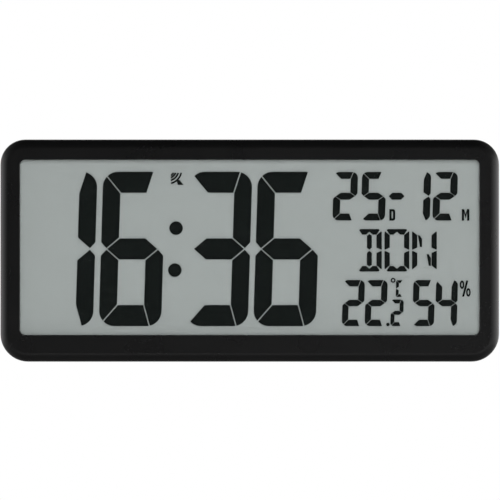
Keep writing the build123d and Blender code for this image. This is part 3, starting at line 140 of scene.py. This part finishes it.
# Signs printed on the cells, and how far the bands of a cell reach from its two ends
cell_mark_size = 0.006
cell_mark_relief = 0.00004
cell_mark_share = 0.3
cell_nub_reach = 0.0017
cell_copper_reach = 0.013
cell_foot_reach = 0.0006
cell_steel = (0.62, 0.62, 0.6)
cell_dark = (0.018, 0.02, 0.024)
cell_copper = (0.62, 0.33, 0.12)
cell_dark_metal_share = 0.1

# How gloss and colour wander over moulded pieces and over metal, in what patches, and
# the levels of a pattern where its darkest and its lightest colour begin
patch_size = 0.03
gloss_wander = 0.05
metal_patch_size = 0.006
metal_gloss_dip = 0.08
metal_gloss_rise = 0.1
metal_colour_wander = 0.06
darkest_level = 0.3
lightest_level = 0.7

# Waves that the wave texture makes in one unit at a scale of one
waves_per_unit = 20.0 / (2.0 * math.pi)


def shader_of(material):
    """The material's surface shader."""
    return material.node_tree.nodes["Principled BSDF"]


def new_material(name, inputs):
    """A material whose shader has the given plain values."""
    material = bpy.data.materials.new(name)
    material.use_nodes = True
    for socket, value in inputs.items():
        shader_of(material).inputs[socket].default_value = value
    return material


def add_node(material, kind, inputs=None, **settings):
    """A new node with its settings and plain input values."""
    node = material.node_tree.nodes.new(kind)
    for setting, value in settings.items():
        setattr(node, setting, value)
    for socket, value in (inputs or {}).items():
        node.inputs[socket].default_value = value
    return node


def link(material, source, target):
    """Join an output to an input."""
    material.node_tree.links.new(source, target)


def object_places(material):
    """The place of each point in the model's own frame."""
    return add_node(material, "ShaderNodeTexCoord").outputs["Object"]


def object_noise(material, size, detail=2.0, stretch=(1.0, 1.0, 1.0)):
    """Noise with spots of a real size, fixed to the object."""
    scaled = add_node(material, "ShaderNodeMapping", {"Scale": stretch})
    link(material, object_places(material), scaled.inputs["Vector"])
    noise = add_node(material, "ShaderNodeTexNoise", {"Scale": 1.0 / size, "Detail": detail})
    link(material, scaled.outputs["Vector"], noise.inputs["Vector"])
    return noise.outputs["Fac"]


def add_relief(material, source, depth):
    """Feed a height into the shader's normal."""
    bump = add_node(material, "ShaderNodeBump", {"Strength": 1.0, "Distance": depth})
    link(material, source, bump.inputs["Height"])
    link(material, bump.outputs["Normal"], shader_of(material).inputs["Normal"])


def add_roughness_range(material, source, low, high):
    """Let the roughness wander between two values."""
    spread = add_node(material, "ShaderNodeMapRange", {"To Min": low, "To Max": high})
    link(material, source, spread.inputs["Value"])
    link(material, spread.outputs["Result"], shader_of(material).inputs["Roughness"])


def add_colour_range(material, source, dark, light):
    """Let the colour wander between two values."""
    ramp = add_node(material, "ShaderNodeValToRGB")
    stops = ramp.color_ramp.elements
    stops[0].position = darkest_level
    stops[0].color = (*dark, 1.0)
    stops[1].position = lightest_level
    stops[1].color = (*light, 1.0)
    link(material, source, ramp.inputs["Fac"])
    link(material, ramp.outputs["Color"], shader_of(material).inputs["Base Color"])


def add_bands(material, source, bands, socket):
    """Plain bands along a source; each is given by where it starts and its colour."""
    ramp = add_node(material, "ShaderNodeValToRGB")
    ramp.color_ramp.interpolation = "CONSTANT"
    stops = ramp.color_ramp.elements
    for index, (start, colour) in enumerate(bands):
        stop = stops[index] if index < len(stops) else stops.new(start)
        stop.position = start
        stop.color = (*colour, 1.0)
    link(material, source, ramp.inputs["Fac"])
    link(material, ramp.outputs["Color"], shader_of(material).inputs[socket])


def shades(colour, spread):
    """A darker and a lighter shade of one colour."""
    dark = tuple(value * (1.0 - spread) for value in colour)
    light = tuple(value * (1.0 + spread) for value in colour)
    return dark, light


def moulded(name, colour, roughness, grain=0.00035, depth=0.000012, specular=0.5, spread=0.08):
    """Moulded plastic: a fine eroded grain and slightly uneven gloss and colour."""
    material = new_material(name, {"Specular IOR Level": specular})
    add_relief(material, object_noise(material, grain), depth)
    patches = object_noise(material, patch_size, detail=3.0)
    add_roughness_range(material, patches, roughness - gloss_wander, roughness + gloss_wander)
    add_colour_range(material, patches, *shades(colour, spread))
    return material


def metal(name, colour, roughness, scratch=0.0002, depth=0.000004, stretch=(1.0, 1.0, 1.0)):
    """Metal with fine scratches, finer along an axis whose stretch is above one."""
    material = new_material(name, {"Metallic": 1.0})
    lines = object_noise(material, scratch, detail=3.0, stretch=stretch)
    add_relief(material, lines, depth)
    add_roughness_range(material, lines, roughness - metal_gloss_dip, roughness + metal_gloss_rise)
    patches = object_noise(material, metal_patch_size)
    add_colour_range(material, patches, *shades(colour, metal_colour_wander))
    return material


def pane(name, tint, alpha, roughness):
    """A clear pane or film."""
    return new_material(
        name, {"Base Color": (*tint, 1.0), "Alpha": alpha, "Roughness": roughness}
    )


def reflector_film(name, colour, spread=0.012, grain=0.0004, depth=0.0000015, patch=0.05):
    """The silvery ground of the display: fine pearl and a soft unevenness."""
    material = new_material(name, {"Specular IOR Level": 0.3})
    pearl = object_noise(material, grain, detail=1.0)
    add_relief(material, pearl, depth)
    add_colour_range(material, object_noise(material, patch), *shades(colour, spread))
    add_roughness_range(material, pearl, low=0.45, high=0.6)
    return material


def cell_sleeve(name, node, direction):
    """A cell's sleeve: bare metal ends, a dark body and a coppery band by the raised end."""
    low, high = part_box(node)
    length = high.x - low.x
    material = new_material(name, {"Specular IOR Level": 0.5})
    parts = add_node(material, "ShaderNodeSeparateXYZ")
    link(material, object_places(material), parts.inputs["Vector"])
    foot, tip = (low.x, high.x) if direction > 0 else (high.x, low.x)
    along = add_node(material, "ShaderNodeMapRange", {"From Min": foot, "From Max": tip})
    link(material, parts.outputs["X"], along.inputs["Value"])
    body_start = cell_foot_reach / length
    copper_start = 1.0 - cell_copper_reach / length
    nub_start = 1.0 - cell_nub_reach / length
    colours = [
        (0.0, cell_steel),
        (body_start, cell_dark),
        (copper_start, cell_copper),
        (nub_start, cell_steel),
    ]
    metal_shares = [(0.0, 1.0), (body_start, cell_dark_metal_share), (copper_start, 1.0)]
    metal_greys = [(start, (share, share, share)) for start, share in metal_shares]
    add_bands(material, along.outputs["Result"], colours, "Base Color")
    add_bands(material, along.outputs["Result"], metal_greys, "Metallic")
    add_roughness_range(material, object_noise(material, size=0.002), low=0.22, high=0.34)
    return material


def printed_board(name, size=0.0035, depth=0.00003):
    """Green lacquer over fine copper tracks."""
    material = new_material(name, {"Specular IOR Level": 0.5})
    upright = (math.radians(90.0), 0.0, 0.0)
    turned = add_node(material, "ShaderNodeMapping", {"Rotation": upright})
    link(material, object_places(material), turned.inputs["Vector"])
    look = {
        "Color1": (0.012, 0.12, 0.045, 1.0),
        "Color2": (0.016, 0.14, 0.055, 1.0),
        "Mortar": (0.03, 0.24, 0.09, 1.0),
        "Scale": 1.0 / size,
        "Mortar Size": 0.06,
        "Brick Width": 0.9,
        "Row Height": 0.3,
    }
    tracks = add_node(material, "ShaderNodeTexBrick", look)
    link(material, turned.outputs["Vector"], tracks.inputs["Vector"])
    link(material, tracks.outputs["Color"], shader_of(material).inputs["Base Color"])
    add_relief(material, tracks.outputs["Fac"], depth)
    add_roughness_range(material, object_noise(material, size=0.004), low=0.25, high=0.4)
    return material


def even_waves(material, pitch, distortion=0.0):
    """Waves of a real pitch, fixed to the object."""
    look = {"Scale": 1.0 / (waves_per_unit * pitch), "Distortion": distortion}
    waves = add_node(material, "ShaderNodeTexWave", look)
    link(material, object_places(material), waves.inputs["Vector"])
    return waves.outputs["Fac"]


def winding(name, pitch=0.0000754, depth=0.00006):
    """Enamelled wire wound round the rod, with painted shade darkening the grooves between turns.
    """
    material = new_material(name, {"Metallic": 1.0})
    turns = even_waves(material, pitch, distortion=0.4)
    add_relief(material, turns, depth)
    # Painted shade: the colour follows the turns, darker in the grooves between them and lighter
    # on their crowns
    add_colour_range(material, turns, dark=(0.3, 0.1, 0.03), light=(0.62, 0.25, 0.09))
    add_roughness_range(material, object_noise(material, size=0.001), low=0.3, high=0.45)
    return material


def striped_rubber(name, pitch=0.0001257):
    """Rubber with fine black and pale layers."""
    material = new_material(name, {"Specular IOR Level": 0.3})
    stripes = even_waves(material, pitch)
    add_colour_range(material, stripes, dark=(0.03, 0.03, 0.03), light=(0.6, 0.58, 0.5))
    add_roughness_range(material, object_noise(material, size=0.001), low=0.55, high=0.7)
    return material


def dress(material, names):
    """Give a material to CAD nodes."""
    for name in names:
        data = frame["nodes"][name].data
        data.materials.clear()
        data.materials.append(material)


def dress_case():
    """The front shell, and the cover with what is hinged in it."""
    shell = moulded("frame_plastic", (0.0028, 0.0028, 0.0029), roughness=0.28, depth=0.000004)
    dress(shell, ["front_frame"])
    cover = moulded(
        "cover_plastic",
        (0.016, 0.016, 0.0165),
        roughness=0.48,
        grain=0.0006,
        depth=0.00004,
        specular=0.4,
    )
    dress(cover, ["rear_cover", "battery_door", "stand"])


def dress_display():
    """The pane, the layers of the display and what holds and seals them."""
    window = pane("window_pane", (0.01, 0.011, 0.011), alpha=0.04, roughness=0.04)
    dress(window, ["window_lens"])
    film = pane("polariser_film", (0.04, 0.045, 0.042), alpha=0.01, roughness=0.15)
    dress(film, ["front_polariser"])
    glass = pane("display_glass", (0.01, 0.014, 0.012), alpha=0.01, roughness=0.03)
    dress(glass, ["front_glass", "rear_glass"])
    dress(reflector_film("reflector_film", (0.334, 0.363, 0.354)), ["reflector"])
    lit = moulded(
        "lit_crystal", (0.006, 0.0077, 0.0072), roughness=0.6, specular=0.02, spread=0.05
    )
    fields = ["time", "date", "weekday", "climate", "symbol"]
    dress(lit, [field + "_segments" for field in fields])
    foam = moulded("foam_black", (0.02, 0.02, 0.02), roughness=0.85, grain=0.0006, depth=0.00008)
    dress(foam, ["lens_tape", "display_gasket"])
    dress(moulded("seal_resin", (0.2, 0.21, 0.2), roughness=0.5), ["cell_seal"])
    holder = moulded("holder_plastic", (0.62, 0.62, 0.59), roughness=0.5)
    dress(holder, ["lcd_holder", "antenna_bobbin"])
    dress(striped_rubber("contact_rubber"), ["contact_strips"])


def dress_boards():
    """The boards with their chips, switches, buttons and antenna."""
    dress(printed_board("board_lacquer"), ["main_board", "receiver_board", "sensor_board"])
    chips = ["chip_cover", "receiver_chip", "climate_sensor", "capacitors", "resistors"]
    dress(moulded("chip_resin", (0.012, 0.012, 0.012), roughness=0.35), chips)
    dress(moulded("switch_plastic", (0.03, 0.03, 0.03), roughness=0.45), ["switch_housings"])
    buttons = [body for body in frame["bodies"] if body.endswith("_button")]
    dress(moulded("button_plastic", (0.014, 0.014, 0.015), roughness=0.38), buttons)
    plungers = [name.replace("_button", "_plunger") for name in buttons]
    dress(moulded("plunger_plastic", (0.55, 0.55, 0.52), roughness=0.4), plungers)
    dress(metal("crystal_can", (0.72, 0.72, 0.7), roughness=0.25), ["quartz_crystal"])
    rod = moulded("ferrite", (0.035, 0.035, 0.038), roughness=0.6, grain=0.0003, depth=0.00003)
    dress(rod, ["ferrite_rod"])
    dress(winding("coil_wire"), ["antenna_coil"])


def dress_cells():
    """The cells and their contacts."""
    dress(cell_sleeve("cell_sleeve_left", "battery_1", -1), ["battery_1"])
    dress(cell_sleeve("cell_sleeve_right", "battery_2", 1), ["battery_2"])
    nickel = metal("nickel", (0.7, 0.69, 0.66), roughness=0.25, stretch=(1.0, 8.0, 1.0))
    dress(nickel, ["positive_contact", "negative_contact", "bridge_contact", "battery_springs"])


def dress_screws_and_leads():
    """The screws and the short leads inside the case."""
    zinc = metal("zinc", (0.5, 0.5, 0.49), roughness=0.35)
    dress(zinc, ["case_screws", "holder_screws", "board_screws"])
    dress(moulded("lead_red", (0.42, 0.015, 0.012), roughness=0.4), ["battery_lead_red"])
    dress(moulded("lead_black", (0.015, 0.015, 0.015), roughness=0.4), ["battery_lead_black"])
    dress(moulded("lead_white", (0.6, 0.6, 0.57), roughness=0.4), ["receiver_lead", "sensor_lead"])


def add_piece(name, mesh, body, material):
    """A piece of one material, which rides on a body."""
    piece = bpy.data.objects.new(name, mesh)
    bpy.context.scene.collection.objects.link(piece)
    mesh.materials.clear()
    mesh.materials.append(material)
    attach(piece, body)
    return piece


def add_mesh(name, points, faces, body, material):
    """A piece made from points and faces."""
    mesh = bpy.data.meshes.new(name)
    mesh.from_pydata(points, [], faces)
    mesh.update()
    return add_piece(name, mesh, body, material)


def words_mesh(name, words, size, thickness):
    """Words of one thickness as a mesh, centred and lying face up."""
    curve = bpy.data.curves.new(name, "FONT")
    curve.body = words
    curve.size = size
    curve.align_x = "CENTER"
    curve.align_y = "CENTER"
    curve.extrude = thickness / 2
    curve.resolution_u = letter_curve_steps
    source = bpy.data.objects.new(name + "_outline", curve)
    bpy.context.scene.collection.objects.link(source)
    bpy.context.view_layer.update()
    shaped = source.evaluated_get(bpy.context.evaluated_depsgraph_get())
    mesh = bpy.data.meshes.new_from_object(shaped)
    bpy.data.objects.remove(source)
    mesh.name = name
    return mesh


def raised_words(name, words, size, place, body, material):
    """Small raised words that face the wall."""
    x, floor_y, z = place
    mesh = words_mesh(name, words, size, mark_relief + mark_root)
    upright = Matrix.Rotation(math.radians(90.0), 4, "X")
    to_wall = Matrix.Rotation(math.radians(180.0), 4, "Z")
    centre = Matrix.Translation((x, floor_y + (mark_relief - mark_root) / 2, z))
    mesh.transform(centre @ (to_wall @ upright))
    return add_piece(name, mesh, body, material)


def raised_arcs(name, place, radii, stroke, body, material, steps=10):
    """Quarter arcs like radio waves, raised from a floor that faces the wall."""
    points = []
    faces = []
    foot_x, floor_y, foot_z = place
    low_y = floor_y - mark_root
    high_y = floor_y + mark_relief
    for radius in radii:
        base = len(points)
        for step in range(steps + 1):
            angle = math.radians(signal_start_degrees + signal_sweep_degrees * step / steps)
            for reach in (radius - stroke / 2, radius + stroke / 2):
                x = foot_x + reach * math.cos(angle)
                z = foot_z + reach * math.sin(angle)
                points.append((x, low_y, z))
                points.append((x, high_y, z))
        for step in range(steps):
            a = base + 4 * step
            b = a + 4
            faces.append((a, b, b + 1, a + 1))
            faces.append((a + 1, b + 1, b + 3, a + 3))
            faces.append((a + 3, b + 3, b + 2, a + 2))
            faces.append((a + 2, b + 2, b, a))
        last = base + 4 * steps
        faces.append((base, base + 1, base + 3, base + 2))
        faces.append((last + 2, last + 3, last + 1, last))
    return add_mesh(name, points, faces, body, material)


def raised_arrow(name, place, size, body, material):
    """A small raised triangle that points down."""
    centre_x, face_y, centre_z = place
    low_y = face_y - mark_root
    high_y = face_y + arrow_relief
    outline = [(-size / 2, size / 3), (size / 2, size / 3), (0.0, -size / 2)]
    points = [(centre_x + x, low_y, centre_z + z) for x, z in outline]
    points += [(centre_x + x, high_y, centre_z + z) for x, z in outline]
    faces = [(0, 1, 2), (5, 4, 3)]
    faces += [(i, i + 3, (i + 1) % 3 + 3, (i + 1) % 3) for i in range(3)]
    return add_mesh(name, points, faces, body, material)


def mark_place(button):
    """The place of the mark below a button, on the floor of the recess."""
    low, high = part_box(button)
    return (low.x + high.x) / 2, -recess_depth, (low.z + high.z) / 2 - mark_drop


def add_button_marks():
    """Plain marks under the buttons, in their recess."""
    material = moulded("mark_grey", (0.45, 0.45, 0.45), roughness=0.5)
    words = {"set": "SET", "plus": "+", "minus": "–", "unit": "°C/°F"}
    for key, text in words.items():
        place = mark_place(key + "_button")
        raised_words(key + "_mark", text, mark_size, place, "case", material)
    x, y, z = mark_place("signal_button")
    foot = (x, y, z - mark_size / 2)
    raised_arcs("signal_mark", foot, signal_radii, signal_stroke, "case", material)


def add_door_arrow():
    """The arrow on the battery door, above its grip."""
    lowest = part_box("battery_door")[0]
    material = bpy.data.materials["cover_plastic"]
    place = (0.0, -door_face_depth, lowest.z + arrow_rise)
    raised_arrow("door_arrow", place, arrow_size, "battery_door", material)


def bend_round(mesh, centre_y, centre_z, radius):
    """Lay a flat sign that faces the wall round a cell."""
    for vertex in mesh.vertices:
        outside = vertex.co.y > centre_y + radius
        reach = radius + (cell_mark_relief if outside else -cell_mark_relief)
        angle = (vertex.co.z - centre_z) / radius
        vertex.co.y = centre_y + reach * math.cos(angle)
        vertex.co.z = centre_z + reach * math.sin(angle)


def add_cell_marks():
    """Printed plus and minus on the cells, bent round them."""
    material = moulded("print_pale", (0.6, 0.6, 0.58), roughness=0.4)
    for node, direction in (("battery_1", -1), ("battery_2", 1)):
        low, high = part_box(node)
        centre = (low + high) / 2
        reach = (high.x - low.x) * cell_mark_share * direction
        for ending, text, x in (("plus", "+", centre.x + reach), ("minus", "–", centre.x - reach)):
            name = f"{node}_{ending}"
            place = (x, high.y, centre.z)
            piece = raised_words(name, text, cell_mark_size, place, "case", material)
            bend_round(piece.data, centre.y, centre.z, (high.z - low.z) / 2)


def world_math(tree, operation, *values):
    """One step of arithmetic on outputs or plain numbers."""
    node = tree.nodes.new("ShaderNodeMath")
    node.operation = operation
    for socket, value in zip(node.inputs, values):
        if isinstance(value, bpy.types.NodeSocket):
            tree.links.new(value, socket)
        else:
            socket.default_value = value
    return node.outputs["Value"]


def world_ramp(tree, source, start, end, low, high):
    """A ramp between two levels that stays level outside its ends."""
    node = tree.nodes.new("ShaderNodeMapRange")
    tree.links.new(source, node.inputs["Value"])
    node.inputs["From Min"].default_value = start
    node.inputs["From Max"].default_value = end
    node.inputs["To Min"].default_value = low
    node.inputs["To Max"].default_value = high
    return node.outputs["Result"]


def gloss_level(tree, x, y, z):
    """The brightness that a glossy surface sees in a direction."""
    square = world_math(tree, "MULTIPLY", x, x)
    rise = world_math(tree, "MULTIPLY_ADD", y, side_gloss_slope, side_gloss)
    sides = world_math(tree, "MULTIPLY", square, rise)
    down = world_math(tree, "MULTIPLY", z, -1.0)
    lean = world_math(tree, "MULTIPLY_ADD", x, front_gloss_lean, down)
    front = world_ramp(tree, lean, front_gloss_start, front_gloss_end, 0.0, front_gloss)
    total = world_math(tree, "ADD", sides, front)
    height = world_math(tree, "ABSOLUTE", z)
    band = world_ramp(tree, height, gloss_band_start, gloss_band_end, 1.0, gloss_outside_band)
    boxes = world_math(tree, "MULTIPLY", total, band)
    behind = world_ramp(tree, y, gloss_behind_start, gloss_behind_end, 0.0, background_strength)
    return world_math(tree, "MAXIMUM", boxes, behind)


def set_world():
    """Even studio light, with a white background for the camera, clear panes and gloss."""
    world = bpy.data.worlds.new("studio")
    bpy.context.scene.world = world
    world.use_nodes = True
    tree = world.node_tree
    tree.nodes.clear()
    output = tree.nodes.new("ShaderNodeOutputWorld")
    light = tree.nodes.new("ShaderNodeBackground")
    white = tree.nodes.new("ShaderNodeBackground")
    white.inputs["Strength"].default_value = background_strength
    for background in (light, white):
        background.inputs["Color"].default_value = (1.0, 1.0, 1.0, 1.0)
    path = tree.nodes.new("ShaderNodeLightPath").outputs
    way = tree.nodes.new("ShaderNodeTexCoord")
    parts = tree.nodes.new("ShaderNodeSeparateXYZ")
    tree.links.new(way.outputs["Generated"], parts.inputs["Vector"])
    x, y, z = (parts.outputs[axis] for axis in "XYZ")
    fill = world_ramp(tree, y, rear_fill_start, rear_fill_end, studio_fill, rear_fill)
    choice = tree.nodes.new("ShaderNodeMix")
    tree.links.new(path["Is Glossy Ray"], choice.inputs["Factor"])
    tree.links.new(fill, choice.inputs["A"])
    tree.links.new(gloss_level(tree, x, y, z), choice.inputs["B"])
    tree.links.new(choice.outputs["Result"], light.inputs["Strength"])
    seen = world_math(tree, "MAXIMUM", path["Is Camera Ray"], path["Is Transmission Ray"])
    mix = tree.nodes.new("ShaderNodeMixShader")
    tree.links.new(seen, mix.inputs["Fac"])
    tree.links.new(light.outputs["Background"], mix.inputs[1])
    tree.links.new(white.outputs["Background"], mix.inputs[2])
    tree.links.new(mix.outputs["Shader"], output.inputs["Surface"])


def floor_paint():
    """A pale paint, of which the camera sees mostly plain white."""
    look = {"Base Color": (*floor_colour, 1.0), "Roughness": floor_roughness}
    material = new_material("floor_paint", look)
    glow = add_node(material, "ShaderNodeEmission", {"Strength": 1.0})
    path = add_node(material, "ShaderNodeLightPath")
    share = add_node(material, "ShaderNodeMath", {1: floor_camera_share}, operation="MULTIPLY")
    link(material, path.outputs["Is Camera Ray"], share.inputs[0])
    mix = add_node(material, "ShaderNodeMixShader")
    link(material, share.outputs["Value"], mix.inputs["Fac"])
    link(material, shader_of(material).outputs["BSDF"], mix.inputs[1])
    link(material, glow.outputs["Emission"], mix.inputs[2])
    surface = material.node_tree.nodes["Material Output"].inputs["Surface"]
    link(material, mix.outputs["Shader"], surface)
    return material


def add_floor():
    """A pale floor below the clock, which keeps a soft shadow."""
    half = floor_size / 2
    z = cad_low.z - floor_drop
    mesh = bpy.data.meshes.new("floor")
    corners = [(-half, -half, z), (half, -half, z), (half, half, z), (-half, half, z)]
    mesh.from_pydata(corners, [], [(0, 1, 2, 3)])
    mesh.materials.append(floor_paint())
    floor = bpy.data.objects.new("floor", mesh)
    bpy.context.scene.collection.objects.link(floor)
    floor.visible_glossy = False


def aim(thing, target):
    """Point a lamp or camera at a place."""
    way = target - thing.location
    thing.rotation_euler = way.to_track_quat("-Z", "Y").to_euler()


def add_lamp(name, place, target, width, height, watts):
    """A soft rectangular lamp that lights without being seen."""
    data = bpy.data.lights.new(name, "AREA")
    data.shape = "RECTANGLE"
    data.size = width
    data.size_y = height
    data.energy = watts
    lamp = bpy.data.objects.new(name, data)
    lamp.location = place
    lamp.visible_camera = False
    lamp.visible_glossy = False
    bpy.context.scene.collection.objects.link(lamp)
    aim(lamp, target)


def add_lamps():
    """Broad lamps in front, near the lens, and lamps beside and behind the clock."""
    centre = (cad_low + cad_high) / 2
    for name, lamp in lamps.items():
        add_lamp(name, target=centre, **lamp)


def add_camera():
    """A long lens square to the front."""
    data = bpy.data.cameras.new("camera")
    data.sensor_width = sensor_width_mm
    data.lens = sensor_width_mm * camera_distance / picture_width
    data.clip_start = clip_start
    data.clip_end = clip_end
    camera = bpy.data.objects.new("camera", data)
    bpy.context.scene.collection.objects.link(camera)
    centre = (cad_low + cad_high) / 2
    target = Vector((centre.x + aim_right, cad_low.y, centre.z + aim_up))
    camera.location = target - Vector((0.0, camera_distance, 0.0))
    aim(camera, target)
    bpy.context.scene.camera = camera


dress_case()
dress_display()
dress_boards()
dress_cells()
dress_screws_and_leads()
add_button_marks()
add_door_arrow()
add_cell_marks()
set_world()
add_floor()
add_lamps()
add_camera()
bpy.context.scene.view_settings.view_transform = "Standard"
bpy.context.scene.cycles.transparent_max_bounces = clear_faces
